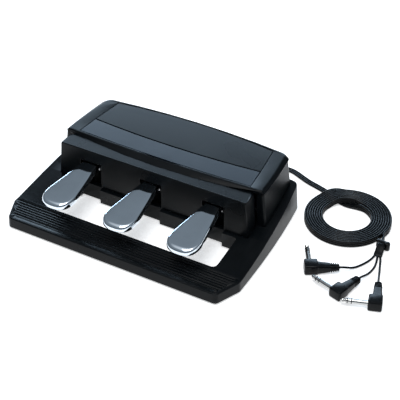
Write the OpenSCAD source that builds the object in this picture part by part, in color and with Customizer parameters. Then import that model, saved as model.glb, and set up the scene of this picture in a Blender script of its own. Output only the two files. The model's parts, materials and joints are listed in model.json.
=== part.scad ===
// Triple foot pedal unit for a stage piano: three sprung chrome pedals in a plastic housing on a
// wedge-shaped foot board with a window, and a flat three-core cord that ends in three angled plugs.
// The origin is on the floor, under the middle of the foot board. +X is the player's right, and +Y
// points back, away from the player. Lengths back from the board's front edge go through back().

/* [Foot board] */
// Width across the board at floor level
base_w = 312; // [306:1:318]
// Depth from the front edge to the middle of the bowed rear edge
base_d = 216; // [214:1:220]
// Height of the tread's top along the front edge
tread_z = 15; // [14:0.5:16]
// Height of the board's top at the rear edge
base_rear_z = 40; // [38:0.5:41]
// Width of the window in the board
window_w = 238; // [230:1:242]
// Distance from the front edge to the window
window_front = 41; // [39:0.5:43]
// Distance from the front edge to the rear of the window
window_rear = 93; // [91:0.5:94]
// Number of grooves in the tread
tread_grooves = 8; // [6:1:8]

/* [Housing] */
// Overall height
total_z = 74; // [73:0.5:76]
// Wall thickness of the plastic shells
wall = 2.6; // [2.2:0.1:3]
// Distance from the front edge to the face of the pedal box
box_front = 97.5; // [97:0.5:98]
// Half the width of the pedal box
box_half_w = 127; // [126:0.5:127.5]
// Height of the pedal box's top edge
box_z = 70.5; // [70:0.25:70.5]

/* [Pedals] */
// Distance between neighbouring pedals
pedal_pitch = 85; // [83:0.5:86]
// Width of the pedal at its blunt toe
toe_w = 40.5; // [39:0.5:42]
// Width of the pedal where it enters the housing
root_w = 20.5; // [19:0.5:22]
// Slope of the pedal at rest, in degrees
pedal_tilt = 3; // [2.95:0.05:3.1]
// Width of each slot in the pedal box
slot_w = 29; // [28:0.5:30]

/* [Pivot] */
// Distance from the front edge to the pivot
pivot_back = 186; // [185:0.5:187]
// Height of the pivot
pivot_z = 50; // [49.5:0.25:50.5]
// Radius of the pivot shaft
shaft_r = 3; // [2.5:0.25:3.25]
// Radial clearance of the bushes on the shaft
running_gap = 0.05; // [0.02:0.01:0.09]

/* [Cord] */
// Diameter of one core of the flat cord
core_d = 2.8; // [2.6:0.1:3]
// Outer radius of the coil of cord
coil_r = 54; // [53:0.5:55]
// Radius of the plug shafts, a quarter-inch phone plug
plug_r = 3.175; // [3.15:0.005:3.2]

/* [Hidden] */
$fn = 48;

black = "#22272c";
slate = "#3c444c";
steel = "#9aa0a6";
chrome = "#c9ced3";
soft_black = "#161819";

// A small overlap that keeps cuts clean
eps = 0.02;
// The gap left between shells that sit against each other
seat_gap = 0.1;

function back(y) = y - base_d/2;
function unit(v) = v/norm(v);
// Turns a direction in degrees into a flat vector
function heading(a) = [cos(a), sin(a)];

// ---- Outlines -------------------------------------------------------------

// Points of a round corner at p between its neighbours a and b
function corner_arc(a, p, b, r, n) =
    let (u = unit(a - p), w = unit(b - p), half = acos(u*w)/2,
         centre = p + unit(u + w)*r/sin(half),
         s = p + u*r/tan(half) - centre, e = p + w*r/tan(half) - centre,
         start = atan2(s.y, s.x), turn = atan2(s.x*e.y - s.y*e.x, s*e))
    [for (i = [0:n]) centre + r*heading(start + turn*i/n)];
// A closed outline of [x, y, corner radius], with its corners made round
function rounded(pts, n = 5) =
    let (c = len(pts), flat = [for (p = pts) [p.x, p.y]])
    [for (i = [0:c - 1]) each pts[i][2] > 0
        ? corner_arc(flat[(i + c - 1)%c], flat[i], flat[(i + 1)%c], pts[i][2], n)
        : [flat[i]]];
// A symmetric outline from its right half, listed from front to rear
function mirrored(right) =
    concat(right, [for (i = [len(right) - 1:-1:0]) if (right[i].x > 0)
        [-right[i].x, right[i].y, right[i][2]]]);

// The board: chamfered front corners, sides that taper to the rear, and a bowed rear edge
front_half = 142;
corner_y = 32;
side_taper = 10;
rear_bow = 8;
taper_start = 60;
rear_corner_r = 9;
function side_x(y) =
    base_w/2 - side_taper*pow(max(0, (y - taper_start)/(base_d - rear_bow - taper_start)), 2);
function board_outline(inset) =
    let (rear_y = base_d - rear_bow,
         side = [for (y = [taper_start:29.6:rear_y - 2]) [side_x(y) - inset, back(y), 0]],
         rear_half = side_x(rear_y) - inset,
         rear = [for (t = [0.66, 0.33, 0]) [rear_half*t, back(base_d - rear_bow*t*t) - inset, 0]])
    rounded(mirrored(concat(
        [[front_half - inset*0.4, back(inset), 7],
         [base_w/2 - inset, back(corner_y + inset*0.4), 10]],
        side,
        [[rear_half, back(rear_y) - inset, rear_corner_r - inset*0.5]],
        rear)));

// The housing's walls: outline at one level, from its front and rear half widths
housing_front = 122;
function wall_outline(front_w, rear_w, front_y, rear_y, inset, front_bow) =
    let (side = [for (t = [0.25, 0.5, 0.75])
            [front_w + (rear_w - front_w)*pow(t, 1.6) - inset, back(front_y + (rear_y - front_y)*t), 0]],
         rear = [for (t = [0.66, 0.33, 0])
            [(rear_w - inset)*t, back(rear_y + rear_bow*(1 - t*t)) - inset, 0]],
         front = front_bow > 0 ? [for (t = [0, 0.33, 0.66])
            [(front_w - inset)*t, back(front_y - front_bow*(1 - t*t)) + inset, 0]] : [])
    rounded(mirrored(concat(
        front,
        [[front_w - inset, back(front_y) + inset, 3]],
        side,
        [[rear_w - inset, back(rear_y) - inset, 8]],
        rear)));

// A solid between two outlines that have the same number of points
module loft(low, high, z0, z1) {
    n = len(low);
    polyhedron(
        points = concat([for (p = low) [p.x, p.y, z0]], [for (p = high) [p.x, p.y, z1]]),
        faces = concat(
            [[for (i = [0:n - 1]) i]],
            [[for (i = [n - 1:-1:0]) n + i]],
            [for (i = [0:n - 1]) each [[i, n + (i + 1)%n, (i + 1)%n], [i, n + i, n + (i + 1)%n]]]
        ),
        convexity = 6);
}

// The board's top rises from the tread to the rear in a shallow curve
rise_start = 40;
function board_z(y) =
    let (t = max(0, (y - rise_start)/(base_d - rise_start)))
    tread_z + (base_rear_z - tread_z)*(0.72*t + 0.28*t*t);

// Everything below the board's top, lowered by drop
module under_board(drop) {
    steps = 12;
    curve = [for (i = [0:steps]) let (y = rise_start + (base_d + 6 - rise_start)*i/steps)
        [back(y), board_z(y) - drop]];
    rotate([90, 0, 90])
        translate([0, 0, -base_w])
            linear_extrude(2*base_w)
                polygon(concat([[back(-6), -5], [back(-6), tread_z - drop]], curve, [[back(base_d + 6), -5]]));
}

// A box given by its corners, with Y counted from the front edge
module block(low, high) {
    translate([low.x, back(low.y), low.z])
        cube([high.x - low.x, high.y - low.y, high.z - low.z]);
}
// A rod along X
module rod(x0, x1, y, z, r) {
    translate([x0, back(y), z])
        rotate([0, 90, 0])
            cylinder(h = x1 - x0, r = r);
}
module at_pedals() {
    for (side = [-1:1])
        translate([side*pedal_pitch, 0, 0])
            children();
}
// A pan-head screw that points down, with its head's underside at z = 0
module screw(shank_r, length) {
    head_r = shank_r*1.9;
    translate([0, 0, -length])
        cylinder(h = length + eps, r = shank_r);
    difference() {
        cylinder(h = head_r*0.7, r = head_r);
        for (turn = [0, 90])
            rotate([0, 0, turn])
                translate([-head_r*0.6, -head_r*0.14, head_r*0.35])
                    cube([head_r*1.2, head_r*0.28, head_r]);
    }
}

// ---- Foot board -----------------------------------------------------------

skirt_z = 1.5;
draft = 2.4;
groove_w = 2;
groove_pitch = 4;
groove_front = 6;
groove_deep = 1;
plate_z0 = 3;
plate_z1 = 6;
plate_front = 104;
well_half = 122;
well_front = 104;
well_rear = 198;
notch_deep = 5.5;
plate_screw_xy = [[-126, 112], [126, 112], [-126, 192], [126, 192], [0, 202]];
cover_screw_xy = [[-104, 140], [104, 140], [-21, 194], [21, 194]];
plate_screw_r = 1.9;
gland_x = 80;
gland_z = 14;
gland_r = 6;

module window_shape(grow) {
    half = window_w/2 + grow;
    polygon(rounded([
        [-half, back(window_front - grow), 6], [half, back(window_front - grow), 6],
        [half, back(window_rear + grow), 3], [-half, back(window_rear + grow), 3]]));
    at_pedals()
        translate([-slot_w/2 - grow, back(window_rear) - 1])
            square([slot_w + 2*grow, notch_deep + grow + 1]);
}
module base_tray() color(black) {
    difference() {
        intersection() {
            loft(board_outline(0), board_outline(draft), skirt_z, base_rear_z + 3);
            under_board(0);
        }
        translate([0, 0, -1])
            linear_extrude(60)
                window_shape(0);
        // Hollow underside, open to the floor in front and closed by the plate behind
        difference() {
            intersection() {
                translate([0, 0, -1])
                    linear_extrude(60)
                        polygon(board_outline(wall + draft));
                under_board(wall);
            }
            translate([0, 0, -2])
                linear_extrude(62)
                    window_shape(wall);
            for (p = plate_screw_xy)
                translate([p.x, back(p.y), plate_z1])
                    cylinder(h = 40, r = 5);
            // Stiffening ribs under the tread
            for (x = [-105:42:105])
                block([x - 0.9, wall, plate_z0], [x + 0.9, window_front - wall + 1, tread_z]);
            for (side = [-1, 1], y = [60, 84])
                block([side*138 - 20, y - 0.9, plate_z0], [side*138 + 20, y + 0.9, tread_z + 6]);
        }
        // Well for the mechanism
        block([-well_half, well_front, -1], [well_half, well_rear, 60]);
        // Tread grooves, trimmed along the chamfered corners
        intersection() {
            for (i = [0:tread_grooves - 1])
                block([-base_w/2, groove_front + i*groove_pitch, tread_z - groove_deep],
                      [base_w/2, groove_front + i*groove_pitch + groove_w, tread_z + 5]);
            linear_extrude(60)
                polygon(board_outline(draft + 5));
        }
        for (p = plate_screw_xy)
            translate([p.x, back(p.y), -1])
                cylinder(h = 16, r = plate_screw_r);
        // Mouth of the cord gland
        translate([gland_x, back(base_d - 20), gland_z])
            rotate([-90, 0, 0])
                cylinder(h = 40, r = gland_r);
    }
}
module ballast_plate() color(steel)
    difference() {
        intersection() {
            block([-140, plate_front, plate_z0], [140, base_d, plate_z1 - seat_gap]);
            translate([0, 0, -1])
                linear_extrude(20)
                    polygon(board_outline(wall + draft + 1));
        }
        for (p = concat(plate_screw_xy, cover_screw_xy))
            translate([p.x, back(p.y), 0])
                cylinder(h = 20, r = plate_screw_r + 0.2);
    }
module plate_screws() color(steel)
    for (p = plate_screw_xy)
        translate([p.x, back(p.y), plate_z0])
            rotate([180, 0, 0])
                screw(plate_screw_r - 0.05, 9);

// Grip pads: round ones under the rear, long ones under the tread
foot_r = 8;
rear_foot_xy = [[-112, 178], [112, 178], [0, 178]];
side_foot_r = 4.8;
side_foot_xy = [132, 50];
module rubber_feet() color(soft_black) {
    for (p = rear_foot_xy)
        translate([p.x, back(p.y), 0])
            cylinder(h = plate_z0 - eps, r = foot_r);
    intersection() {
        for (side = [-1, 1])
            translate([side*side_foot_xy.x, back(side_foot_xy.y), 0])
                cylinder(h = tread_z + 10, r = side_foot_r);
        under_board(wall + eps);
    }
    for (x = [-84, 0, 84])
        block([x - 16, 12, 0], [x + 16, 30, tread_z - wall]);
}

// ---- Housing --------------------------------------------------------------

lip_z = 68.5;
cover_edge_z = 70.5;
low_front_w = 142.5;
low_rear_w = 139;
lip_front_w = 137;
lip_rear_w = 131.5;
housing_rear = 203;
box_slot_z = 55.5;
box_return = 119;
bead = 1.2;
shell_foot_z = 21;
// How much wider the box gets on each side for each mm of height below its top
box_draft = 0.09;
// The gap at each side between the box and the shells round it
box_gap = 0.3;
// A block as wide as the box plus grow on each side, which follows the draft of the box's sides
module box_block(grow, y0, y1, z0, z1) {
    low = box_half_w + grow + box_draft*(box_z - z0);
    high = box_half_w + grow + box_draft*(box_z - z1);
    translate([0, back(y1), 0])
        rotate([90, 0, 0])
            linear_extrude(y1 - y0)
                polygon([[-low, z0], [low, z0], [high, z1], [-high, z1]]);
}

// Front block with three slots, open at the back
module pedal_box() color(black)
    difference() {
        union() {
            box_block(0, box_front, box_return, 16, box_z);
            // Raised bead along the top front edge
            rod(-box_half_w + 1, box_half_w - 1, box_front + bead, box_z, bead);
            // Shelf that runs back under the cover's bowed lip
            block([-box_half_w + 4, box_return - 1, box_z - wall], [box_half_w - 4, box_return + 4, box_z]);
        }
        under_board(-seat_gap);
        box_block(-wall, box_front + wall, box_return + 1, 10, box_z - wall);
        at_pedals()
            block([-slot_w/2, box_front - 2, 10], [slot_w/2, box_front + wall + 1, box_slot_z]);
    }

// The rear shell stands on the board and carries the cover
module housing_shell() color(black)
    difference() {
        loft(wall_outline(low_front_w, low_rear_w, housing_front, housing_rear, 0, 0),
             wall_outline(lip_front_w, lip_rear_w, housing_front + 2, housing_rear + 1, 0, 0),
             shell_foot_z, lip_z);
        loft(wall_outline(low_front_w, low_rear_w, housing_front, housing_rear, wall, 0),
             wall_outline(lip_front_w, lip_rear_w, housing_front + 2, housing_rear + 1, wall, 0),
             shell_foot_z - 1, lip_z + 1);
        under_board(-seat_gap);
        // The front is open behind the pedal box
        box_block(box_gap, housing_front - 4, housing_front + 9, 10, lip_z + 2);
    }

top_front_w = 134;
top_rear_w = 125.5;
cover_bow = 14;
top_front_bow = 3;
top_front_y = 124;
top_rear_y = 206;
groove_gap = 0.9;
inset_deep = 1.6;

function panel_x(y) = 119 - 9.5*pow((y - 118)/90, 1.3);
cross_y = 158;
cross_bow = 5.5;
function cross_curve(shift, half) =
    [for (t = [-1:0.25:1]) [half*t, back(cross_y + shift - cross_bow*(1 - t*t))]];
// The rear panel's outline, grown or shrunk by grow
module rear_panel_shape(grow) {
    half = panel_x(cross_y) + grow;
    rear_half = panel_x(top_rear_y - 3) + grow;
    polygon(concat(
        cross_curve(groove_gap/2 - grow, half),
        [for (t = [1:-0.25:-1])
            [rear_half*t, back(top_rear_y - 3 + grow + rear_bow*(1 - t*t))]]));
}
module front_band_shape(grow) {
    half = panel_x(cross_y) + grow;
    front_half_w = panel_x(top_front_y + 3) + grow;
    polygon(concat(
        [for (t = [-1:0.25:1])
            [front_half_w*t, back(top_front_y + 3 - grow - top_front_bow*(1 - t*t))]],
        [for (p = cross_curve(grow - groove_gap/2, half)) [-p.x, p.y]]));
}
boss_foot_z = 56;
cover_screw_top = 66;
ceiling_z = total_z - inset_deep - 1.8;
module top_cover() color(black) {
    // Bosses that the long screws from the plate bite into
    difference() {
        for (p = cover_screw_xy)
            translate([p.x, back(p.y), boss_foot_z])
                cylinder(h = ceiling_z - boss_foot_z + eps, r = 4);
        for (p = cover_screw_xy)
            translate([p.x, back(p.y), boss_foot_z - 1])
                cylinder(h = cover_screw_top + 2 - boss_foot_z, r = plate_screw_r + 0.05);
    }
    difference() {
        union() {
            loft(wall_outline(lip_front_w, lip_rear_w, housing_front + 3, housing_rear + 2, 0, cover_bow),
                 wall_outline(lip_front_w + 0.4, lip_rear_w + 0.4, housing_front + 2.6, housing_rear + 2.4, 0,
                              cover_bow),
                 lip_z + seat_gap, cover_edge_z);
            loft(wall_outline(lip_front_w + 0.4, lip_rear_w + 0.4, housing_front + 2.6, housing_rear + 2.4, 0,
                              cover_bow),
                 wall_outline(top_front_w, top_rear_w, top_front_y, top_rear_y, 0, top_front_bow),
                 cover_edge_z - eps, total_z);
        }
        // Hollow underside
        translate([0, 0, lip_z - 1])
            linear_extrude(ceiling_z - lip_z + 1)
                polygon(wall_outline(top_front_w - 6, top_rear_w - 5, top_front_y + 6, top_rear_y - 4, 0,
                                     top_front_bow));
        // Recess that holds both inserts
        translate([0, 0, total_z - inset_deep]) {
            linear_extrude(5)
                rear_panel_shape(groove_gap/2);
            linear_extrude(5)
                front_band_shape(groove_gap/2);
        }
        // The lip clears the top of the pedal box
        block([-box_half_w - box_gap, box_front - 1, 60],
              [box_half_w + box_gap, box_return + 4.2, box_z + seat_gap]);
    }
}
module rear_top_panel() color(black)
    translate([0, 0, total_z - inset_deep + eps])
        linear_extrude(inset_deep - 0.1)
            rear_panel_shape(-groove_gap/2);
module front_band() color(slate)
    translate([0, 0, total_z - inset_deep + eps])
        linear_extrude(inset_deep - 0.1)
            front_band_shape(-groove_gap/2);

// Long screws, driven from below, that draw the cover down onto the plate
module cover_screws() color(steel)
    for (p = cover_screw_xy)
        translate([p.x, back(p.y), plate_z0])
            rotate([180, 0, 0])
                screw(plate_screw_r, cover_screw_top - plate_z0);

// ---- Pivot and stops ------------------------------------------------------

outer_bracket_x = 116;
bracket_x = [-outer_bracket_x, -pedal_pitch/2, pedal_pitch/2, outer_bracket_x];
bracket_t = 4;
foot_out = 7;
foot_t = 3;
foot_screw_y = 184.5;
// Outer feet and tabs fold inwards
function inwards(x) = x > 0 ? -1 : 1;
tab_z = 66;
tab_back = 152;
fit_gap = 0.02;
module shaft_brackets() color(steel)
    for (x = bracket_x)
        difference() {
            union() {
                translate([x - bracket_t/2, 0, 0])
                    rotate([90, 0, 90])
                        linear_extrude(bracket_t)
                            polygon([
                                [back(172), plate_z1], [back(197), plate_z1], [back(197), 40],
                                [back(195), 60], [back(172), tab_z], [back(tab_back), tab_z],
                                [back(tab_back), tab_z - 3], [back(168), tab_z - 4], [back(177), 56],
                                [back(178), 44], [back(172), 30]]);
                // Foot and top tab, folded out of the same sheet
                translate([x + inwards(x)*(foot_out - bracket_t/2), 0, 0])
                    block([-foot_out, 172, plate_z1], [foot_out, 197, plate_z1 + foot_t]);
                block([x - 7, tab_back, tab_z - 3], [x + 7, tab_back + 16, tab_z]);
            }
            rod(x - 20, x + 20, pivot_back, pivot_z, shaft_r + fit_gap);
            translate([x + inwards(x)*foot_out, back(foot_screw_y), 0])
                cylinder(h = 40, r = 1.7);
            translate([x, back(tab_back + 8), tab_z - 10])
                cylinder(h = 20, r = 1.2);
        }
module bracket_screws() color(steel)
    for (x = bracket_x)
        translate([x + inwards(x)*foot_out, back(foot_screw_y), plate_z1 + foot_t])
            screw(1.65, foot_t);
module pivot_shaft() color(chrome)
    rod(-124, 124, pivot_back, pivot_z, shaft_r);
module shaft_clips() color(steel)
    for (side = [-1, 1])
        difference() {
            rod(side*120.6 - 0.6, side*120.6 + 0.6, pivot_back, pivot_z, shaft_r + 2.6);
            rod(side*120.6 - 2, side*120.6 + 2, pivot_back, pivot_z, shaft_r + fit_gap);
            block([side*120.6 - 2, pivot_back - 2, pivot_z - 9], [side*120.6 + 2, pivot_back + 2, pivot_z]);
        }
boss_half = 12;
sleeve_r = 4.6;
// Sleeves that keep the levers and brackets apart, one each side of each lever
module spacer_sleeves() color(steel)
    for (side = [-1, 1], span = [
            [boss_half + 0.4, pedal_pitch/2 - bracket_t/2 - 0.1],
            [pedal_pitch/2 + bracket_t/2 + 0.1, pedal_pitch - boss_half - 0.4],
            [pedal_pitch + boss_half + 0.4, outer_bracket_x - bracket_t/2 - 0.1]])
        difference() {
            rod(side > 0 ? span[0] : -span[1], side > 0 ? span[1] : -span[0], pivot_back, pivot_z, sleeve_r);
            rod(-140, 140, pivot_back, pivot_z, shaft_r + fit_gap);
        }

stop_y = 124;
felt_z0 = 55.95;
felt_t = 3;
rail_half = 120;
module stop_rail() color(steel) {
    block([-rail_half, stop_y - 7, felt_z0 + felt_t], [rail_half, stop_y + 7, felt_z0 + felt_t + 2.5]);
    block([-rail_half, stop_y + 5, felt_z0 + felt_t + 2], [rail_half, stop_y + 7, felt_z0 + felt_t + 5]);
    for (side = [-1, 1]) {
        block([side*(rail_half - 1.5) - 1.5, stop_y - 7, plate_z1],
              [side*(rail_half - 1.5) + 1.5, stop_y + 7, felt_z0 + felt_t + 1]);
        block([side*(rail_half - 7) - 7, stop_y - 7, plate_z1],
              [side*(rail_half - 7) + 7, stop_y + 7, plate_z1 + 2.5]);
    }
}
module upper_stop_felt() color("#5b2f2f")
    at_pedals()
        block([-13, stop_y - 6, felt_z0], [13, stop_y + 6, felt_z0 + felt_t - eps]);
pad_z1 = 35.3;
pad_t = 5;
module lower_stop_blocks() color(black)
    at_pedals() {
        block([-9, stop_y - 8, plate_z1], [9, stop_y + 8, pad_z1 - pad_t]);
        block([-16, stop_y - 8, plate_z1], [16, stop_y + 8, plate_z1 + 4]);
    }
module lower_stop_pads() color("#5b2f2f")
    at_pedals()
        block([-9, stop_y - 7, pad_z1 - pad_t + eps], [9, stop_y + 7, pad_z1]);

spring_y = 147;
spring_z0 = 17;
spring_r = 6.2;
module spring_seats() color(black)
    at_pedals()
        translate([0, back(spring_y), plate_z1]) {
            cylinder(h = spring_z0 - plate_z1, r = spring_r + 2.5);
            cylinder(h = spring_z0 - plate_z1 + 5, r = spring_r - 2.2);
        }

// ---- Levers ---------------------------------------------------------------

// Lever parts are drawn with the pivot at the origin and the toe along -Y, then tilted and placed
module place_lever(side) {
    translate([side*pedal_pitch, back(pivot_back), pivot_z])
        rotate([pedal_tilt, 0, 0])
            children();
}
// Distances ahead of the pivot, measured along the lever
tang_end = 46;
flank_start = 84.5;
toe_start = 150;
toe_long = 23.5;
pedal_top = 8.65;
// Undersides of the tang, which rests on the arm, and of the thicker part outside the housing
pedal_low = 1.5;
outer_low = 0.3;
outer_start = 86;
arm_low = -3.5;
arm_w = 18;
// Half width of the pedal between the root and the toe's widest point
function pedal_half(t) = root_w/2 + (toe_w - root_w)/2*t;
// Flattens a circle's sine or cosine into a blunt end
function blunt(v) = sign(v)*pow(abs(v), 0.75);
// The plan of one level, drawn in by inset all round and by roll more at the front of the toe
function pedal_outline(inset, roll) =
    let (flank = [for (i = [0:8]) let (t = i/8)
            [pedal_half(t) - inset, -flank_start - (toe_start - flank_start)*t]],
         toe = [for (a = [12:12:168])
            [(toe_w/2 - inset)*blunt(cos(a)), -toe_start - (toe_long - inset - roll*sin(a))*blunt(sin(a))]])
    concat([[root_w/2 - inset, -tang_end]], flank, toe,
           [for (i = [8:-1:0]) [-flank[i].x, flank[i].y]], [[-root_w/2 + inset, -tang_end]]);
module pedal_slab(inset, roll, z0, z1) {
    translate([0, 0, z0])
        linear_extrude(z1 - z0)
            polygon(pedal_outline(inset, roll));
}
lever_screws = [51, 76];
module pedal(side) color(chrome)
    place_lever(side)
        difference() {
            union() {
                pedal_slab(0, 0, pedal_low, pedal_top - 3.2);
                pedal_slab(0.4, 1.5, pedal_top - 3.3, pedal_top - 1.5);
                pedal_slab(1.2, 4, pedal_top - 1.6, pedal_top - 0.5);
                pedal_slab(2.6, 7, pedal_top - 0.6, pedal_top);
                intersection() {
                    pedal_slab(0.6, 0, outer_low, pedal_low + eps);
                    translate([-toe_w, -outer_start - 100, outer_low - 1])
                        cube([2*toe_w, 100, 10]);
                }
            }
            for (d = lever_screws)
                translate([0, -d, -5])
                    cylinder(h = 11, r = 1.6);
        }
module arm(side) color(steel)
    place_lever(side)
        difference() {
            union() {
                translate([-arm_w/2, -82, arm_low])
                    cube([arm_w, 82, pedal_low - arm_low - 0.01]);
                rotate([0, 90, 0])
                    translate([0, 0, -boss_half])
                        cylinder(h = 2*boss_half, r = 8.2);
            }
            rotate([0, 90, 0])
                translate([0, 0, -30])
                    cylinder(h = 60, r = 5.02);
            for (d = lever_screws)
                translate([0, -d, -10])
                    cylinder(h = 20, r = 1.9);
        }
module bush(side) color("ivory")
    place_lever(side)
        rotate([0, 90, 0])
            difference() {
                translate([0, 0, -boss_half - 0.2])
                    cylinder(h = 2*boss_half + 0.4, r = 5);
                translate([0, 0, -30])
                    cylinder(h = 60, r = shaft_r + running_gap);
            }
module lever_screws_of(side) color(steel)
    place_lever(side)
        for (d = lever_screws)
            translate([0, -d, arm_low - 0.01])
                rotate([180, 0, 0])
                    screw(1.55, 9);
flag_ahead = 26;
module flag(side) color(black)
    place_lever(side) {
        translate([-5, -flag_ahead - 5, pedal_low])
            cube([10, 10, 2]);
        translate([-0.6, -flag_ahead - 3, pedal_low + 1.9])
            cube([1.2, 6, 11.2]);
    }

// A coil spring, swept from small rings along a helix
spring_z1 = 44;
wire_r = 0.9;
spring_turns = 6;
module spring(side) color(steel) {
    ring = 6;
    steps = spring_turns*12;
    height = spring_z1 - spring_z0 - 2*wire_r - 0.1;
    centres = [for (i = [0:steps]) let (a = 360*spring_turns*i/steps)
        [spring_r*cos(a), spring_r*sin(a), wire_r + 0.05 + height*i/steps]];
    points = [for (i = [0:steps], k = [0:ring - 1])
        let (a = 360*spring_turns*i/steps, b = 360*k/ring)
        centres[i] + wire_r*[cos(a)*cos(b), sin(a)*cos(b), sin(b)]];
    translate([side*pedal_pitch, back(spring_y), spring_z0])
        polyhedron(
            points = points,
            faces = concat(
                [[for (k = [ring - 1:-1:0]) k]],
                [[for (k = [0:ring - 1]) steps*ring + k]],
                [for (i = [0:steps - 1], k = [0:ring - 1])
                    let (a = i*ring + k, b = i*ring + (k + 1)%ring)
                    each [[a, b, a + ring], [b, b + ring, a + ring]]]),
            convexity = 10);
}

// ---- Sensors and leads ----------------------------------------------------

board_y = 160;
gate_z = 55.5;
module sensor_board() color("#1f5a38")
    difference() {
        block([-124, tab_back, tab_z + eps], [124, tab_back + 16, tab_z + 1.6]);
        for (x = bracket_x)
            translate([x, back(tab_back + 8), 50])
                cylinder(h = 30, r = 1.3);
        // Slots for the legs of the light gates
        at_pedals()
            block([-6, board_y - 1, 60], [-5.2, board_y + 1, 80]);
    }
module light_gates() color(soft_black)
    at_pedals()
        difference() {
            block([-6.5, board_y - 5, gate_z], [6.5, board_y + 3.4, tab_z - 0.02]);
            block([-2, board_y - 7, gate_z - 2], [2, board_y + 7, tab_z - 2]);
        }
module board_screws() color(steel)
    for (x = bracket_x)
        translate([x, back(tab_back + 8), tab_z + 1.6])
            screw(1.15, 5);
module board_connector() color("ivory")
    block([98, 164, 57], [108.5, 169, tab_z - 0.02]);

// Points of a tube of flat section along a route, 8 sides to a ring
function along(route, i) =
    let (n = len(route) - 1)
    unit(i == 0 ? route[1] - route[0] : i == n ? route[n] - route[n - 1] : route[i + 1] - route[i - 1]);
module tube(route, wide, high) {
    sides = 8;
    n = len(route);
    points = [for (i = [0:n - 1]) let (t = along(route, i), w = unit(cross([0, 0, 1], t)), u = cross(t, w))
        for (k = [0:sides - 1]) let (a = 360*(k + 0.5)/sides)
            route[i] + w*cos(a)*wide/2/cos(180/sides) + u*sin(a)*high/2/cos(180/sides)];
    polyhedron(
        points = points,
        faces = concat(
            [[for (k = [0:sides - 1]) k]],
            [[for (k = [sides - 1:-1:0]) (n - 1)*sides + k]],
            [for (i = [0:n - 2], k = [0:sides - 1])
                let (a = i*sides + k, b = i*sides + (k + 1)%sides)
                each [[a, a + sides, b], [b, a + sides, b + sides]]]),
        convexity = 6);
}
// A point of a route, with Y counted from the front edge
function at(x, y, z) = [x, back(y), z];

leads_route = [
    at(104, 168.6, 61), at(104, 177, 61.5), at(104, 184, 61.5), at(104, 190, 58), at(103.5, 193, 52),
    at(102, 194, 44), at(99, 194.6, 36), at(95, 195, 28), at(90, 196, 21), at(85, 197.5, 16.5),
    at(81.5, 199.2, 14.5), at(80, 203, 14)];
leads_w = 5;
leads_h = 3;
module inner_leads() color(soft_black)
    tube(leads_route, leads_w, leads_h);
module lead_clamp() color(black)
    difference() {
        block([86, 189, plate_z1], [98, well_rear - 0.1, 24]);
        tube(leads_route, leads_w + 0.8, leads_h + 0.8);
    }

// The gland: a collar in the board's rear wall and a tapered strain relief behind it
gland_inner = 201.2;
gland_wall = base_d - 2.1;
gland_end = base_d + 16;
module cord_gland() color(soft_black)
    translate([gland_x, 0, gland_z])
        rotate([-90, 0, 0]) {
            translate([0, 0, back(gland_inner)])
                cylinder(h = gland_wall - gland_inner, r = gland_r - 0.3);
            translate([0, 0, back(gland_wall + 0.1)])
                cylinder(h = 2.6, r = gland_r + 1.6);
            for (i = [0:3])
                translate([0, 0, back(gland_wall + 3.2) + i*3.6])
                    cylinder(h = 2.4, r = 5.5 - i*0.25);
            translate([0, 0, back(gland_wall - 1)])
                cylinder(h = gland_end - gland_wall + 1, r = 4.5);
        }

// ---- Free cord ------------------------------------------------------------

// The route from the gland to the coil, and from the coil to the plugs
ribbon_w = 3*core_d;
run_route = [
    at(80, 232, 14), at(80, 238, 13), at(80.2, 244, 10), at(80.8, 250, 6), at(82.4, 255.6, 3),
    at(85.4, 261, 1.6), at(90, 265.6, 1.45), at(95.6, 268.6, 1.45), at(102, 269.8, 1.45),
    at(108.6, 269.2, 1.45), at(116, 266.8, 1.45), at(124, 263.2, 1.45), at(132, 259.8, 1.45),
    at(140, 257, 1.45), at(148, 254.8, 1.45), at(156, 252.4, 1.45), at(163, 250, 1.45),
    at(170.4, 246.4, 1.45)];
coil_at = [209, 211];
coil_hole_r = 27.8;
lead_route = [at(261, 201, 4.25), at(262.2, 195, 4.25), at(263.4, 189, 4.25), at(264.4, 184, 4.25)];
tail_a_route = [
    at(264, 166, 2.2), at(263.4, 160, 1.7), at(261.8, 153.4, 1.45), at(259.4, 147, 1.45),
    at(256.4, 140.8, 1.45), at(253, 135, 1.7), at(249.4, 129.6, 3), at(245.4, 125, 5.2),
    at(241.6, 121.7, 6.4), at(238.2, 119.5, 6.6)];
tail_b_route = [
    at(267.2, 165, 2.2), at(269, 159, 1.7), at(270.6, 152, 1.45), at(271.4, 145, 1.45),
    at(271, 138, 1.45), at(269.8, 131, 1.8), at(268, 124, 3.4), at(266.2, 117, 5.6), at(265.1, 111.6, 6.6)];
tail_c_route = [
    at(270.4, 165.6, 2.2), at(273, 159.8, 1.7), at(275.4, 153, 1.45), at(277.8, 146, 1.45),
    at(280.2, 139, 1.45), at(282.4, 132, 1.8), at(284.4, 126, 3.2), at(286.2, 120.5, 5.4),
    at(287.9, 115, 6.6)];
module cord_run() color(soft_black)
    tube(run_route, ribbon_w, core_d);
module cord_coil() color(soft_black)
    translate([coil_at.x, back(coil_at.y), 0.02])
        rotate_extrude($fn = 96)
            translate([coil_hole_r, 0])
                square([coil_r - coil_hole_r, ribbon_w + 0.2]);
module cord_lead() color(soft_black)
    tube(lead_route, core_d, ribbon_w);
tie_at = [265, 184];
module cord_tie() color(black)
    translate([tie_at.x, back(tie_at.y), 0.05])
        rotate([0, 0, -8]) {
            translate([-7, -2.6, 0])
                cube([13, 5.2, 10]);
            translate([6.8, 0, 0])
                cylinder(h = 10.6, r = 3.4);
        }
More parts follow.
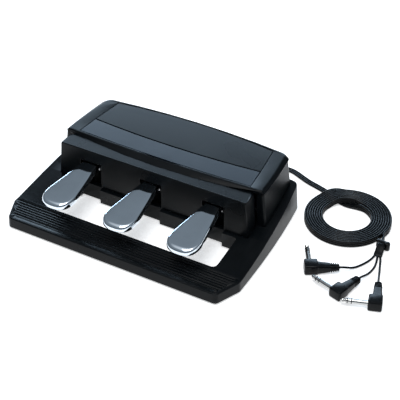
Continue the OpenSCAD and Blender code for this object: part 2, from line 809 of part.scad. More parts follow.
module cord_splitter() color(black)
    hull() {
        translate([tie_at.x + 0.4, back(tie_at.y - 3.6), 0])
            translate([-4.6, 0, 0.05])
                cube([9.2, 0.8, 9]);
        translate([262, back(164.6), 0.3])
            cube([10.6, 1.6, 3.6]);
    }
module tail(route) color(soft_black)
    tube(route, core_d, core_d);

// Angled plugs: where shaft and body axes cross, and the headings of body and shaft
plug_z = 6.6;
plug_places = [
    [[209, 102.6], 30, 120],
    [[255.2, 79.4], 73, 163],
    [[299, 83], 109, 199]];
body_long = 34;
module place_plug(i) {
    spot = plug_places[i];
    translate([spot[0].x, back(spot[0].y), plug_z])
        children();
}
module plug_body(i) color(soft_black)
    place_plug(i) {
        // Shaft block
        rotate([0, 0, plug_places[i][2]])
            translate([-6.6, -6.4, -6.5])
                cube([16.2, 12.8, 13]);
        // Body that narrows towards the cord
        rotate([0, 0, plug_places[i][1]])
            hull() {
                translate([5.6, -6.2, -6.4])
                    cube([2, 12.4, 12.8]);
                translate([body_long - 12, -4.2, -4.4])
                    cube([2, 8.4, 8.8]);
            }
        // Ribbed strain relief
        rotate([0, 0, plug_places[i][1]])
            rotate([0, 90, 0]) {
                translate([0, 0, body_long - 11])
                    cylinder(h = 11, r = 3);
                for (k = [0:3])
                    translate([0, 0, body_long - 10 + k*2.7])
                        cylinder(h = 1.5, r = 4.6 - k*0.15);
            }
    }
// Shaft parts lie along the shaft's heading, from 9.6 mm out
shaft_from = 9.62;
sleeve_long = 17.4;
band_long = 1;
ring_long = 3.6;
module shaft_part(r, from, long)
    for (i = [0:2])
        place_plug(i)
            rotate([0, 0, plug_places[i][2]])
                rotate([0, 90, 0])
                    translate([0, 0, shaft_from + from])
                        cylinder(h = long - 0.01, r = r);
module plug_sleeves() color(chrome)
    shaft_part(plug_r, 0, sleeve_long);
module plug_rings() color(chrome)
    shaft_part(plug_r, sleeve_long + band_long, ring_long);
module plug_insulators() color(black)
    for (from = [sleeve_long, sleeve_long + band_long + ring_long])
        shaft_part(plug_r, from, band_long);
module plug_tips() color(chrome)
    for (i = [0:2])
        place_plug(i)
            rotate([0, 0, plug_places[i][2]])
                rotate([0, 90, 0])
                    translate([0, 0, shaft_from + sleeve_long + 2*band_long + ring_long])
                        rotate_extrude()
                            polygon([[0, 0], [plug_r, 0], [plug_r, 0.8], [1.9, 2], [1.9, 2.6], [2.7, 4], [2.5, 5.4],
                                     [1.5, 6.6], [0.6, 7.4], [0, 7.5]]);

// ---- Nodes ----------------------------------------------------------------

base_tray();
ballast_plate();
plate_screws();
rubber_feet();
pedal_box();
housing_shell();
top_cover();
rear_top_panel();
front_band();
cover_screws();
shaft_brackets();
bracket_screws();
pivot_shaft();
shaft_clips();
spacer_sleeves();
stop_rail();
upper_stop_felt();
lower_stop_blocks();
lower_stop_pads();
spring_seats();
sensor_board();
light_gates();
board_screws();
board_connector();
inner_leads();
lead_clamp();
cord_gland();
pedal(-1);  // pedal_left
pedal(0);  // pedal_middle
pedal(1);  // pedal_right
arm(-1);  // arm_left
arm(0);  // arm_middle
arm(1);  // arm_right
bush(-1);  // bush_left
bush(0);  // bush_middle
bush(1);  // bush_right
lever_screws_of(-1);  // screws_left
lever_screws_of(0);  // screws_middle
lever_screws_of(1);  // screws_right
flag(-1);  // flag_left
flag(0);  // flag_middle
flag(1);  // flag_right
spring(-1);  // spring_left
spring(0);  // spring_middle
spring(1);  // spring_right
cord_run();
cord_coil();
cord_lead();
cord_tie();
cord_splitter();
tail(tail_a_route);  // tail_a
tail(tail_b_route);  // tail_b
tail(tail_c_route);  // tail_c
plug_body(0);  // plug_body_a
plug_body(1);  // plug_body_b
plug_body(2);  // plug_body_c
plug_sleeves();
plug_rings();
plug_tips();
plug_insulators();
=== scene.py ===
"""The looks of a triple foot pedal unit: cords, pedals, shells, plugs, materials, light and camera."""
import bpy
import bmesh
import json
import math
from mathutils import Matrix, Vector


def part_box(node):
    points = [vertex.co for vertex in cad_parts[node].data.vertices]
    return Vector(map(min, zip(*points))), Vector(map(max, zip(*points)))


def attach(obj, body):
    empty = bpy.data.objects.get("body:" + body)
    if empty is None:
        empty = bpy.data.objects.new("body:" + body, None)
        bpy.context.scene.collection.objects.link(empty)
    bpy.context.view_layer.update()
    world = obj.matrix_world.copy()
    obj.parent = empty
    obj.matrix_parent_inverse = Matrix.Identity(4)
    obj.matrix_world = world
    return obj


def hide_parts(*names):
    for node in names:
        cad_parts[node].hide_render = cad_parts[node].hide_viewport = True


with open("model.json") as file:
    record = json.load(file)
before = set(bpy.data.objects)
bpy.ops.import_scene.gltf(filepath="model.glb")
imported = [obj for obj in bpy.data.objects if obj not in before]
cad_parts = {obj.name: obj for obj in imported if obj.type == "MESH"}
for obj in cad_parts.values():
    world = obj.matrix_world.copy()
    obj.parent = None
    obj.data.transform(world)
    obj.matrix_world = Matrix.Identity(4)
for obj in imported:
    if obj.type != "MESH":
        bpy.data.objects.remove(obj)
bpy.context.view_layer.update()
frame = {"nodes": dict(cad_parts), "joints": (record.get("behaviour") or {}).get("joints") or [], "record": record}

MM = 0.001
front_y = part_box("base_tray")[0][1]
rear_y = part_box("base_tray")[1][1]


def at(x, y, z):
    """A point in metres from millimetres, with Y counted back from the board's front edge."""
    return Vector((x * MM, front_y + y * MM, z * MM))


# ---- Camera ---------------------------------------------------------------

CAMERA_AT = Vector((0.5815, -0.9298, 0.8638))
CAMERA_LOOK = Vector((-0.3868, 0.6923, -0.6092))
CAMERA_LENS = 102.62


def add_camera():
    data = bpy.data.cameras.new("camera")
    data.lens = CAMERA_LENS
    data.sensor_width = 36
    data.clip_end = 20
    camera = bpy.data.objects.new("camera", data)
    camera.location = CAMERA_AT
    camera.rotation_euler = CAMERA_LOOK.to_track_quat("-Z", "Y").to_euler()
    bpy.context.scene.collection.objects.link(camera)
    bpy.context.scene.camera = camera


add_camera()

# ---- Material helpers -----------------------------------------------------


class Nodes:
    """A material's node tree, with short calls for the nodes that the finishes share."""

    def __init__(self, name):
        self.material = bpy.data.materials.new(name)
        self.material.use_nodes = True
        self.tree = self.material.node_tree
        self.shader = self.tree.nodes["Principled BSDF"]
        self.place = self.add("ShaderNodeTexCoord").outputs["Object"]

    def add(self, kind, **settings):
        node = self.tree.nodes.new(kind)
        for key, value in settings.items():
            setattr(node, key, value)
        return node

    def link(self, source, target):
        self.tree.links.new(source, target)

    def noise(self, scale, detail=2.0, rough=0.5, stretch=None):
        place = self.place
        if stretch:
            mapping = self.add("ShaderNodeMapping")
            mapping.inputs["Scale"].default_value = stretch
            self.link(place, mapping.inputs["Vector"])
            place = mapping.outputs["Vector"]
        node = self.add("ShaderNodeTexNoise")
        node.inputs["Scale"].default_value = scale
        node.inputs["Detail"].default_value = detail
        node.inputs["Roughness"].default_value = rough
        self.link(place, node.inputs["Vector"])
        return node.outputs["Fac"]

    def span(self, value, low, high, start=0.3, end=0.7):
        """Maps value, from start to end, onto low to high."""
        node = self.add("ShaderNodeMapRange")
        node.inputs["From Min"].default_value = start
        node.inputs["From Max"].default_value = end
        node.inputs["To Min"].default_value = low
        node.inputs["To Max"].default_value = high
        self.link(value, node.inputs["Value"])
        return node.outputs["Result"]

    def times(self, a, b):
        node = self.add("ShaderNodeMath", operation="MULTIPLY")
        self.link(a, node.inputs[0])
        self.link(b, node.inputs[1])
        return node.outputs[0]

    def mix(self, factor, low, high):
        """Mixes two colours, either of which may be an output of another node."""
        node = self.add("ShaderNodeMix", data_type="RGBA")
        self.link(factor, node.inputs["Factor"])
        for socket, colour in ((node.inputs["A"], low), (node.inputs["B"], high)):
            if isinstance(colour, tuple):
                socket.default_value = (*colour, 1)
            else:
                self.link(colour, socket)
        return node.outputs["Result"]

    def scuffs(self, strength):
        """Faint rubbed patches made of short drawn marks, for handling wear."""
        patches = self.span(self.noise(11, 3), 0, strength, 0.5, 0.75)
        return self.times(patches, self.span(self.noise(160, 3, stretch=(1, 0.15, 1)), 0, 1))

    def bump(self, *layers):
        """Layers of (height output, depth in metres), stacked on one another."""
        normal = None
        for height, depth in layers:
            node = self.add("ShaderNodeBump")
            node.inputs["Strength"].default_value = 1
            node.inputs["Distance"].default_value = depth
            self.link(height, node.inputs["Height"])
            if normal:
                self.link(normal, node.inputs["Normal"])
            normal = node.outputs["Normal"]
        self.link(normal, self.shader.inputs["Normal"])

    def set(self, **values):
        for key, value in values.items():
            socket = self.shader.inputs[key.replace("_", " ")]
            if isinstance(value, (int, float, tuple)):
                socket.default_value = (*value, 1) if isinstance(value, tuple) else value
            else:
                self.link(value, socket)
        return self


def plastic(name, dark, light, rough, grain=900, depth=0.000005, wear=0.12, specular=0.5):
    """Moulded plastic: fine spark-eroded grain, faint cloudiness, and rubbed patches."""
    n = Nodes(name)
    cloud = n.mix(n.span(n.noise(14, 4), 0, 1), dark, light)
    worn = tuple(min(1, c * 2 + 0.02) for c in light)
    colour = n.mix(n.scuffs(wear), cloud, worn)
    n.set(Base_Color=colour, Roughness=n.span(n.noise(22, 1), rough - 0.03, rough + 0.04))
    n.shader.inputs["Specular IOR Level"].default_value = specular
    n.bump((n.noise(grain, 2), depth), (n.noise(35, 1), 0.000006))
    return n.material


def metal(name, colour, rough, brushed=None, depth=0.000004):
    """Bare or plated metal, with fine scratches and, where brushed, a drawn grain along one axis."""
    n = Nodes(name)
    tint = tuple(c * 0.9 for c in colour)
    n.set(Base_Color=n.mix(n.span(n.noise(25, 3), 0, 1), tint, colour), Metallic=1)
    n.set(Roughness=n.span(n.noise(90, 5), rough * 0.75, rough * 1.35))
    grain = n.noise(700, 3, stretch=brushed or (1, 1, 1))
    n.bump((grain, depth), (n.noise(40, 1), 0.000003))
    return n.material


def rubber(name, dark, light, rough, specular=0.5):
    n = Nodes(name)
    n.set(Base_Color=n.mix(n.span(n.noise(50, 4), 0, 1), dark, light),
          Roughness=n.span(n.noise(120, 3), rough - 0.06, rough + 0.06))
    n.shader.inputs["Specular IOR Level"].default_value = specular
    n.bump((n.noise(1600, 2), 0.000005))
    return n.material


def felt(name, dark, light):
    n = Nodes(name)
    fibres = n.noise(2200, 6, 0.7)
    n.set(Base_Color=n.mix(fibres, dark, light), Roughness=n.span(fibres, 0.85, 1))
    n.shader.inputs["Sheen Weight"].default_value = 0.4
    n.bump((fibres, 0.0003))
    return n.material


def circuit_board(name):
    """Green solder mask over faint copper tracks."""
    n = Nodes(name)
    brick = n.add("ShaderNodeTexBrick")
    n.link(n.place, brick.inputs["Vector"])
    brick.inputs["Scale"].default_value = 90
    brick.inputs["Mortar Size"].default_value = 0.06
    tracks = n.span(brick.outputs["Fac"], 0, 1, 0, 1)
    n.set(Base_Color=n.mix(tracks, (0.012, 0.09, 0.035), (0.03, 0.17, 0.06)),
          Roughness=n.span(n.noise(200, 2), 0.25, 0.4))
    n.bump((tracks, 0.00004))
    return n.material


black = plastic("black_plastic", (0.0008, 0.0016, 0.0024), (0.0016, 0.0028, 0.0038), 0.30, specular=0.13)
slate = plastic("slate_plastic", (0.010, 0.016, 0.025), (0.016, 0.023, 0.034), 0.33, specular=0.22)
plug_black = plastic("plug_plastic", (0.0012, 0.0018, 0.0024), (0.0024, 0.0032, 0.0040), 0.26, grain=1400,
                     specular=0.13)
acetal = plastic("acetal", (0.62, 0.60, 0.53), (0.72, 0.70, 0.63), 0.3, wear=0.1)
chrome = metal("chrome", (0.76, 0.84, 0.91), 0.06)
plug_metal = metal("plug_metal", (0.52, 0.52, 0.51), 0.16)
zinc = metal("zinc_steel", (0.56, 0.57, 0.58), 0.32)
rolled = metal("rolled_steel", (0.45, 0.46, 0.48), 0.38, brushed=(0.04, 1, 1), depth=0.00002)
jacket = rubber("cord_jacket", (0.0010, 0.0016, 0.0022), (0.0024, 0.0034, 0.0044), 0.30, specular=0.17)
foot_rubber = rubber("foot_rubber", (0.012, 0.012, 0.013), (0.022, 0.022, 0.023), 0.75)
dark_felt = felt("wool_felt", (0.006, 0.006, 0.007), (0.018, 0.018, 0.020))
solder_mask = circuit_board("circuit_board")

SLOT_MATERIALS = {
    "black_plastic": black, "slate_plastic": slate, "chrome": chrome, "steel": zinc, "plated_steel": rolled,
    "acetal": acetal, "felt": dark_felt, "rubber": foot_rubber, "circuit_board": solder_mask,
    "cord_jacket": jacket, "plug_plastic": plug_black,
}
slot_of = {row["node"]: row["material_slot"] for row in frame["record"]["subparts"]}


def finish_cad_nodes():
    """Gives every CAD node the finish of its slot."""
    for name, node in frame["nodes"].items():
        on_plug = name in ("plug_sleeves", "plug_rings", "plug_tips")
        chosen = plug_metal if on_plug else SLOT_MATERIALS[slot_of[name]]
        node.data.materials.clear()
        node.data.materials.append(chosen)


finish_cad_nodes()


def add_piece(name, mesh_or_curve, material, body, slot, *nodes):
    piece = bpy.data.objects.new(name, mesh_or_curve)
    bpy.context.scene.collection.objects.link(piece)
    mesh_or_curve.materials.append(material)
    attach(piece, body)
    if nodes:
        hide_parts(*nodes)
    return piece


def to_mesh(name, bm, sharp=35):
    """A mesh from a bmesh, smooth except along edges sharper than the given angle in degrees."""
    bmesh.ops.recalc_face_normals(bm, faces=bm.faces)
    mesh = bpy.data.meshes.new(name)
    bm.to_mesh(mesh)
    bm.free()
    mesh.shade_smooth()
    mesh.set_sharp_from_angle(angle=math.radians(sharp))
    return mesh


# ---- Cord -----------------------------------------------------------------

CORE_D = 2.8
COIL_AT = (209, 211)
INNER_R = 29.2
TURN_PITCH = 2.83
TURNS = 8.27
STEPS_A_TURN = 28
LAY_Z = CORE_D / 2 + 0.05

# The flat cord's middle line from the gland, under the coil and into its hole
RUN = [
    (80, 232, 14), (80, 238, 13), (80.2, 244, 10), (80.8, 250, 6), (82.4, 255.6, 3), (85.4, 261, 1.6),
    (90, 265.6, 1.45), (95.6, 268.6, 1.45), (102, 269.8, 1.45), (108.6, 269.2, 1.45), (116, 266.8, 1.45),
    (124, 263.2, 1.45), (132, 259.8, 1.45), (140, 257, 1.45), (148, 254.8, 1.45), (156, 252.4, 1.45),
    (163, 250, 1.45), (170.4, 246.4, 1.45), (177, 243.4, 1.45), (184, 240.6, 1.45), (191, 238.6, 1.45),
    (198, 237.6, 1.45),
]
# From the coil's outer end to the tie
LEAD = [(261.6, 198, 4.25), (262.8, 191, 4.25), (264.2, 184, 4.25)]
TAILS = {
    "a": [
        (264, 166, 2.2), (263.4, 160, 1.7), (261.8, 153.4, 1.45), (259.4, 147, 1.45), (256.4, 140.8, 1.45),
        (253, 135, 1.7), (249.4, 129.6, 3), (245.4, 125, 5.2), (241.6, 121.7, 6.4), (238.2, 119.5, 6.6),
    ],
    "b": [
        (267.2, 165, 2.2), (269, 159, 1.7), (270.6, 152, 1.45), (271.4, 145, 1.45), (271, 138, 1.45),
        (269.8, 131, 1.8), (268, 124, 3.4), (266.2, 117, 5.6), (265.1, 111.6, 6.6),
    ],
    "c": [
        (270.4, 165.6, 2.2), (273, 159.8, 1.7), (275.4, 153, 1.45), (277.8, 146, 1.45), (280.2, 139, 1.45),
        (282.4, 132, 1.8), (284.4, 126, 3.2), (286.2, 120.5, 5.4), (287.9, 115, 6.6),
    ],
}


def smoothstep(t):
    t = min(1, max(0, t))
    return t * t * (3 - 2 * t)


def arc_heading(a):
    return Vector((math.cos(a), math.sin(a), 0))


COIL_CENTRE = Vector((*COIL_AT, 0))
# Where the flat cord turns on edge inside the hole, as angles of the coil
TWIST_FROM = math.radians(112)
TWIST_TO = math.radians(62)
SPIRAL_FROM = math.radians(90)


def spiral_radius(angle):
    return INNER_R + TURN_PITCH * (SPIRAL_FROM - angle) / (2 * math.pi)


def gap_to_run(point):
    """Distance in plan from a point to the flat stretch that passes under the coil."""
    nearest = 1e9
    for (x0, y0, z0), (x1, y1, z1) in zip(RUN[14:], RUN[15:]):
        a, b = Vector((x0, y0)), Vector((x1, y1))
        t = max(0, min(1, (point.xy - a).dot(b - a) / (b - a).length_squared))
        nearest = min(nearest, (point.xy - a - t * (b - a)).length)
    return nearest


def ribbon():
    """The flat cord's middle line as (point, turn on edge from 0 to 1) pairs, up to the tie."""
    line = [(Vector(p), 0.0) for p in RUN]
    steps = round(TURNS * STEPS_A_TURN)
    angle_step = 2 * math.pi / STEPS_A_TURN
    for i in range(1, steps + 1):
        angle = SPIRAL_FROM - i * angle_step
        # The innermost turn starts a little inside its circle, clear of the turn outside it
        inside = 2.2 * (1 - smoothstep((SPIRAL_FROM - angle) / 1.2))
        point = COIL_CENTRE + (spiral_radius(angle) - inside) * arc_heading(angle)
        edge = smoothstep((TWIST_FROM - angle) / (TWIST_FROM - TWIST_TO))
        lift = 0
        if SPIRAL_FROM - angle > 0.6 * 2 * math.pi:
            lift = (CORE_D + 0.1) * (1 - smoothstep((gap_to_run(point) - 5.2) / 13))
        line.append((point + Vector((0, 0, LAY_Z + CORE_D * math.sin(edge * math.pi / 2) + lift)), edge))
    return line + [(Vector(p), 1.0) for p in LEAD]


def strand_points(line, place):
    """One core's own line: place is -1, 0 or 1 across the flat cord."""
    points = []
    for i, (point, edge) in enumerate(line):
        ahead = line[min(i + 1, len(line) - 1)][0] - line[max(i - 1, 0)][0]
        across = Vector((0, 0, 1)).cross(ahead).normalized()
        turn = edge * math.pi / 2
        points.append(point + place * CORE_D * (math.cos(turn) * across + math.sin(turn) * Vector((0, 0, 1))))
    return points


def tube_curve(name, points, radius, resolution=3, bevel_resolution=4):
    """A smooth open spline through points given in millimetres from the board's front edge."""
    curve = bpy.data.curves.new(name, "CURVE")
    curve.dimensions = "3D"
    curve.bevel_depth = radius * MM
    curve.bevel_resolution = bevel_resolution
    curve.resolution_u = resolution
    curve.use_fill_caps = True
    spline = curve.splines.new("BEZIER")
    spline.bezier_points.add(len(points) - 1)
    places = [at(*point) for point in points]
    for i, (knot, here) in enumerate(zip(spline.bezier_points, places)):
        before, after = places[max(i - 1, 0)], places[min(i + 1, len(places) - 1)]
        heading = ((after - here).normalized() + (here - before).normalized()).normalized()
        knot.handle_left_type = knot.handle_right_type = "FREE"
        knot.co = here
        knot.handle_left = here - heading * (here - before).length / 3
        knot.handle_right = here + heading * (after - here).length / 3
        # A handle never dips below both ends of its own stretch, so a cord lying on the floor stays above it
        knot.handle_left.z = max(knot.handle_left.z, min(here.z, before.z))
        knot.handle_right.z = max(knot.handle_right.z, min(here.z, after.z))
    return curve


ribbon_line = ribbon()
for letter, place in (("a", 1), ("b", 0), ("c", -1)):
    core_route = strand_points(ribbon_line, place) + [Vector(p) for p in TAILS[letter]]
    core_curve = tube_curve(f"core_{letter}", core_route, CORE_D / 2 - 0.02)
    add_piece(f"core_{letter}", core_curve, jacket, "root", "cord_jacket",
                              "cord_run", "cord_coil", "cord_lead", f"tail_{letter}")


# ---- Lofts ----------------------------------------------------------------


def loft(bm, rows, cap_start=True, cap_end=True):
    """Joins closed rows of points, which have the same count, into one skin."""
    rings = [[bm.verts.new(p) for p in row] for row in rows]
    count = len(rows[0])
    for low, high in zip(rings, rings[1:]):
        for i in range(count):
            j = (i + 1) % count
            bm.faces.new((low[i], low[j], high[j], high[i]))
    if cap_start:
        bm.faces.new(rings[0][::-1])
    if cap_end:
        bm.faces.new(rings[-1])


def rounded_rectangle(low_x, high_x, low_y, high_y, radius, steps=4):
    """Points of a flat rectangle with round corners, as (x, y) pairs."""
    points = []
    corners = ((high_x, high_y, 0), (low_x, high_y, 90), (low_x, low_y, 180), (high_x, low_y, 270))
    for x, y, start in corners:
        centre_x = x - math.copysign(radius, x - (low_x + high_x) / 2)
        centre_y = y - math.copysign(radius, y - (low_y + high_y) / 2)
        for i in range(steps + 1):
            a = math.radians(start + 90 * i / steps)
            points.append((centre_x + radius * math.cos(a), centre_y + radius * math.sin(a)))
    return points


def turned(bm, profile, origin, axis, steps=40):
    """Turns a profile of (distance along axis, radius) pairs round the axis, all in metres."""
    axis = axis.normalized()
    side = axis.orthogonal().normalized()
    other = axis.cross(side)
    rows = []
    for along, radius in profile:
        rows.append([
            origin + axis * along + radius * (math.cos(a) * side + math.sin(a) * other)
            for a in (2 * math.pi * i / steps for i in range(steps))
        ])
    loft(bm, rows)


# ---- Pedals ---------------------------------------------------------------

TILT = math.radians(3)
ROOT_HALF = 10.25
TOE_HALF = 20.25
FLANK_START = 84.5
TOE_START = 150
TOE_LONG = 23.5
TANG_AHEAD = 46
OUTER_START = 86
# The rim's section: how far inside the outline, how much more at the front of the toe, and how high
# above the pivot
PEDAL_SECTION = [
    (8, 7, 8.65), (2.6, 4.6, 8.65), (1.9, 3.6, 8.5), (1.3, 2.6, 8.15), (0.8, 1.8, 7.6), (0.45, 1.1, 6.9),
    (0.2, 0.5, 6.0), (0.05, 0.1, 5.1), (0, 0, 4.2), (0, 0, 3.0), (0.05, 0, 1.9), (0.1, 0, 1.55),
    (0.1, 0, 1.5),
    (0.4, 0, 0.8), (0.9, 0, 0.4), (1.5, 0, 0.3), (8, 8, 0.3),
]
# Below this height the pedal starts outside the housing, ahead of the arm it rests on
PEDAL_LOW = 1.52


def blunt(value):
    """Flattens a circle's sine or cosine into a blunt end."""
    return math.copysign(abs(value) ** 0.75, value)


def pedal_outline(inset, roll, start):
    """The pedal's plan ahead of start, with the pivot at the origin and the toe along -Y."""
    steps = 26
    flank = []
    for i in range(steps + 1):
        t = i / steps
        half = ROOT_HALF + (TOE_HALF - ROOT_HALF) * t
        flank.append((half - inset, min(-FLANK_START - (TOE_START - FLANK_START) * t, -start - 0.3)))
    toe = []
    for i in range(1, 48):
        a = math.pi * i / 48
        reach = TOE_LONG - inset - roll * math.sin(a)
        toe.append(((TOE_HALF - inset) * blunt(math.cos(a)), -TOE_START - reach * blunt(math.sin(a))))
    root = (ROOT_HALF - inset, -start)
    return [root] + flank + toe + [(-x, y) for x, y in flank[::-1]] + [(-root[0], root[1])]


def lever_point(pivot, x, y, z):
    """A point of a lever at rest, from its place in millimetres round the pivot."""
    return pivot + MM * Vector((
        x, y * math.cos(TILT) - z * math.sin(TILT), y * math.sin(TILT) + z * math.cos(TILT)))


def add_pedal(joint):
    body = joint["child"]
    side = body.split("_")[0]
    pivot = Vector(joint["pos_m"])
    bm = bmesh.new()
    rows = []
    for inset, roll, z in PEDAL_SECTION:
        outline = pedal_outline(inset, roll, TANG_AHEAD if z > PEDAL_LOW else OUTER_START)
        rows.append([lever_point(pivot, x, y, z) for x, y in outline])
    loft(bm, rows)
    add_piece(f"pedal_plate_{side}", to_mesh("pedal", bm, 50), chrome, body, "chrome", f"pedal_{side}")


for pedal_joint in frame["joints"]:
    add_pedal(pedal_joint)

# ---- Moulded shells -------------------------------------------------------

TREAD_Z = 15
REAR_Z = 40
RISE_START = 40
BASE_W = (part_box("base_tray")[1][0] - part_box("base_tray")[0][0]) / MM
BASE_D = (rear_y - front_y) / MM


def board_z(y):
    t = max(0, (y - RISE_START) / (BASE_D - RISE_START))
    return TREAD_Z + (REAR_Z - TREAD_Z) * (0.72 * t + 0.28 * t * t)


def edge_facts(edge):
    """An edge's middle in millimetres from the board's front edge, and its angle if it is convex."""
    middle = (edge.verts[0].co + edge.verts[1].co) / 2
    x, y, z = middle.x / MM, (middle.y - front_y) / MM, middle.z / MM
    return x, y, z, math.degrees(edge.calc_face_angle_signed(0))


def softened(node, *passes, sharp=40):
    """A copy of a CAD node with chosen edges rounded, by passes of (radius, segments, test of an edge)."""
    bm = bmesh.new()
    bm.from_mesh(frame["nodes"][node].data)
    bmesh.ops.remove_doubles(bm, verts=bm.verts, dist=2e-6)
    for radius, segments, test in passes:
        bm.normal_update()
        chosen = [e for e in bm.edges if e.is_manifold and test(*edge_facts(e))]
        bmesh.ops.bevel(bm, geom=chosen, offset=radius * MM, segments=segments, profile=0.5,
                        affect="EDGES", clamp_overlap=False)
    bmesh.ops.remove_doubles(bm, verts=bm.verts, dist=1e-6)
    many_sided = [face for face in bm.faces if len(face.verts) > 4]
    bmesh.ops.triangulate(bm, faces=many_sided)
    piece = add_piece(f"{node}_skin", to_mesh(node, bm, sharp), SLOT_MATERIALS[slot_of[node]], "root",
                      slot_of[node], node)
    weighted = piece.modifiers.new("weighted_normals", "WEIGHTED_NORMAL")
    weighted.keep_sharp = True
    return piece


def outline_margin(x, y):
    """How far a point is inside the board's front, sides and chamfered corners."""
    chamfer = (142 - abs(x)) * 0.916 + y * 0.401
    taper = 10 * max(0, (y - 60) / 148) ** 2
    return min(y, BASE_W / 2 - taper - abs(x), chamfer, BASE_D - 8 * min(1, abs(x) / 146) ** 2 - y)


def on_top(y, z):
    return abs(z - board_z(y)) < 0.5


softened(
    "base_tray",
    (1.3, 3, lambda x, y, z, a: a > 50 and on_top(y, z) and outline_margin(x, y) < 4.6),
    (0.5, 2, lambda x, y, z, a: a > 60 and on_top(y, z) and abs(x) < 120.5 and 40 < y < 99.5),
    (0.6, 2, lambda x, y, z, a: a > 60 and z < 1.6 and outline_margin(x, y) < 1),
)
softened(
    "pedal_box",
    (2.2, 4, lambda x, y, z, a: a > 60 and abs(x) > 126 and y < 98.5 and 20 < z < 68),
    (0.6, 2, lambda x, y, z, a: a > 60 and y < 98 and z < 60 and abs(x) < 120),
)
softened(
    "housing_shell",
    (0.5, 2, lambda x, y, z, a: a > 60 and z < 60 and y > 125),
)
softened(
    "top_cover",
    (1.5, 4, lambda x, y, z, a: a > 14 and z > 73.5 and (abs(x) > 120 or y < 124 or y > 203)),
    (0.7, 3, lambda x, y, z, a: a > 25 and 70.2 < z < 70.8),
)
for insert in ("rear_top_panel", "front_band"):
    softened(insert, (0.35, 2, lambda x, y, z, a: a > 60 and z > 73))

# ---- Plugs, tie, splitter and gland ---------------------------------------

PLUG_Z = 6.6
PLUG_PLACES = {"a": ((209, 102.6), 30), "b": ((255.2, 79.4), 73), "c": ((299, 83), 109)}
# Sections from the cord to the head: distance, away from and towards the shaft, half height, corner radius
PLUG_NECK = [(34, -3.2, 2.8, 2.9, 2.2), (33.6, -3.8, 3.4, 3.5, 2.4)]
PLUG_HEAD = [
    (23.4, -4.6, 4.3, 4.5, 1.8), (12, -5.6, 5.2, 5.6, 1.8), (9.4, -5.9, 5.5, 5.9, 1.8),
    (9.1, -6.2, 6.4, 6.2, 1.8), (8.8, -6.4, 8.6, 6.4, 1.8), (8.2, -6.5, 9.3, 6.5, 1.8),
    (-4.6, -6.5, 9.5, 6.5, 1.8), (-5.8, -6.2, 9.2, 6.2, 1.8), (-6.4, -5.4, 8.4, 5.4, 1.8),
    (-6.6, -4.6, 7.6, 4.6, 1.8),
]
RIB_COUNT = 4
RIB_PITCH = 2.5


def plug_ribs():
    """Rounded ribs of the strain relief, growing towards the head."""
    rows = []
    for i in range(RIB_COUNT):
        start = 33.2 - i * RIB_PITCH
        grow = 0.22 * i
        for back_off, proud in ((0, 0), (0.3, 0.7), (0.9, 0.8), (1.3, 0.7), (1.6, 0), (2.2, 0)):
            size = proud + grow
            rows.append((start - back_off, -3.6 - size, 3.2 + size, 3.3 + size, 2.2))
    return rows


def add_plug_body(letter):
    (x, y), body_angle = PLUG_PLACES[letter]
    along = arc_heading(math.radians(body_angle))
    to_shaft = arc_heading(math.radians(body_angle + 90))
    origin = at(x, y, PLUG_Z)
    bm = bmesh.new()
    rows = []
    for s, low, high, half, radius in PLUG_NECK + plug_ribs() + PLUG_HEAD:
        section = rounded_rectangle(low, high, -half, half, radius, 3)
        rows.append([origin + MM * (s * along + u * to_shaft + Vector((0, 0, w))) for u, w in section])
    loft(bm, rows)
    # Collar where the shaft leaves the head
    collar = [(8.6, 4.9), (9.3, 4.9), (9.58, 4.6), (9.6, 3.3)]
    turned(bm, [(d * MM, r * MM) for d, r in collar], origin, to_shaft)
    return add_piece(f"plug_shell_{letter}", to_mesh("plug", bm, 38), plug_black, "root", "plug_plastic",
                     f"plug_body_{letter}")


plug_shells = {letter: add_plug_body(letter) for letter in PLUG_PLACES}

TIE_AT = (265, 184)


def add_tie():
    """The tie round the coil's end: a clip with rounded edges and a knob on its outer side."""
    turn = Matrix.Rotation(math.radians(-8), 3, "Z")
    origin = at(*TIE_AT, 0)
    bm = bmesh.new()
    section = [(0.9, 0.1), (0.3, 0.3), (0, 1.0), (0, 4.0), (0.45, 4.5), (0.45, 5.5), (0, 6.0), (0, 9.0),
               (0.3, 9.7), (0.9, 10.0)]
    rows = []
    for inset, z in section:
        flat = rounded_rectangle(-7 + inset, 6 - inset, -2.6 + inset, 2.6 - inset, 1.2)
        rows.append([origin + MM * (turn @ Vector((px, py, z))) for px, py in flat])
    loft(bm, rows)
    knob = [(0.1, 2.4), (0.4, 3.0), (1.2, 3.4), (9.0, 3.4), (10.0, 3.0), (10.5, 2.2), (10.6, 1.0)]
    knob_at = origin + MM * (turn @ Vector((6.8, 0, 0)))
    turned(bm, [(z * MM, r * MM) for z, r in knob], knob_at, Vector((0, 0, 1)))
    return add_piece("tie_clip", to_mesh("tie", bm), plug_black, "root", "plug_plastic", "cord_tie")


def add_splitter():
    """The moulded piece that narrows in height from the ribbon on edge to the three single cores."""
    sections = [
        (181.2, 265.4, 4.6, 0.1, 9.0), (180.4, 265.4, 4.8, 0.05, 9.2), (176, 265.9, 4.8, 0.1, 8.2),
        (171, 266.6, 5.0, 0.3, 5.6), (167, 267.1, 5.2, 0.4, 4.3), (165.4, 267.3, 5.2, 0.5, 3.9),
        (164.7, 267.3, 4.8, 0.8, 3.5),
    ]
    bm = bmesh.new()
    rows = []
    for y, x, half, low, high in sections:
        section = rounded_rectangle(-half, half, low, high, min(1.4, (high - low) / 2.2), 3)
        rows.append([at(x + u, y, z) for u, z in section])
    loft(bm, rows)
    return add_piece("splitter_moulding", to_mesh("splitter", bm), plug_black, "root", "plug_plastic",
                     "cord_splitter")


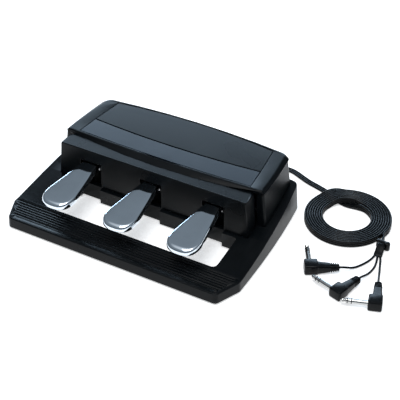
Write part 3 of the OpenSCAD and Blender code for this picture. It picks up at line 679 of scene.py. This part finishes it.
def add_gland():
    """A threaded collar in the board's rear wall, and a ribbed strain relief that tapers towards the cord."""
    low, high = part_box("cord_gland")
    centre = Vector([(a + b) / 2 for a, b in zip(low, high)])
    start = low[1]
    long = (high[1] - low[1]) / MM
    profile = [
        (0, 5.2), (0.4, 5.7), (12.7, 5.7), (12.75, 7.2), (13.1, 7.55), (15.2, 7.55), (15.6, 7.2), (15.7, 5.4),
    ]
    for i in range(4):
        d = 17.4 + i * 3.4
        r = 5.4 - 0.25 * i
        profile += [(d - 1.0, r - 0.9), (d - 0.6, r - 0.1), (d, r)]
        profile += [(d + 0.8, r), (d + 1.2, r - 0.2), (d + 1.4, r - 0.95)]
    profile += [(long - 0.4, 4.4), (long, 4.1)]
    bm = bmesh.new()
    wall_at = Vector((centre.x, start, centre.z))
    turned(bm, [(d * MM, r * MM) for d, r in profile], wall_at, Vector((0, 1, 0)))
    return add_piece("strain_relief", to_mesh("gland", bm), jacket, "root", "cord_jacket", "cord_gland")


tie_clip = add_tie()
splitter = add_splitter()
gland = add_gland()

# ---- Floor, light and world -----------------------------------------------


def add_floor():
    bm = bmesh.new()
    bmesh.ops.create_grid(bm, x_segments=8, y_segments=8, size=6)
    mesh = bpy.data.meshes.new("floor")
    bm.to_mesh(mesh)
    bm.free()
    floor = bpy.data.objects.new("floor", mesh)
    floor.location.z = -0.0003
    n = Nodes("pale_floor")
    pale = n.mix(n.noise(3, 2), (0.93, 0.93, 0.93), (0.95, 0.95, 0.95))
    # A backlit studio table, which keeps the shadows light
    n.set(Base_Color=pale, Emission_Color=pale, Emission_Strength=0.55, Roughness=0.9)
    n.shader.inputs["Specular IOR Level"].default_value = 0.1
    mesh.materials.append(n.material)
    bpy.context.scene.collection.objects.link(floor)


def add_softbox(name, place, target, width, height, power, colour=(1, 1, 1)):
    data = bpy.data.lights.new(name, "AREA")
    data.shape = "RECTANGLE"
    data.size = width
    data.size_y = height
    data.energy = power
    data.color = colour
    light = bpy.data.objects.new(name, data)
    light.location = place
    light.rotation_euler = (Vector(target) - Vector(place)).to_track_quat("-Z", "Y").to_euler()
    bpy.context.scene.collection.objects.link(light)


def add_world():
    """A studio that is darker towards the horizon and pale overhead."""
    world = bpy.data.worlds.new("studio")
    world.use_nodes = True
    tree = world.node_tree
    place = tree.nodes.new("ShaderNodeTexCoord")
    split = tree.nodes.new("ShaderNodeSeparateXYZ")
    ramp = tree.nodes.new("ShaderNodeValToRGB")
    tree.links.new(place.outputs["Generated"], split.inputs[0])
    tree.links.new(split.outputs["Z"], ramp.inputs["Fac"])
    tree.links.new(ramp.outputs["Color"], tree.nodes["Background"].inputs["Color"])
    stops = ramp.color_ramp.elements
    stops[0].position = 0.0
    stops[0].color = (0.16, 0.17, 0.19, 1)
    stops[1].position = 0.95
    stops[1].color = (0.75, 0.78, 0.82, 1)
    for height, level in ((0.45, 0.13), (0.66, 0.19), (0.82, 0.22)):
        stop = ramp.color_ramp.elements.new(height)
        stop.color = (level, level * 1.15, level * 1.3, 1)
    tree.nodes["Background"].inputs["Strength"].default_value = 1.0
    bpy.context.scene.world = world


add_floor()
add_world()
add_softbox("key", (0.2, -0.5, 2.4), (0, 0, 0), 1.5, 1.5, 36)
add_softbox("back", (-1.3, 2.4, 1.2), (0, 0, 0.05), 3.0, 0.9, 64, (0.62, 0.81, 1))
bpy.context.scene.view_settings.view_transform = "Standard"
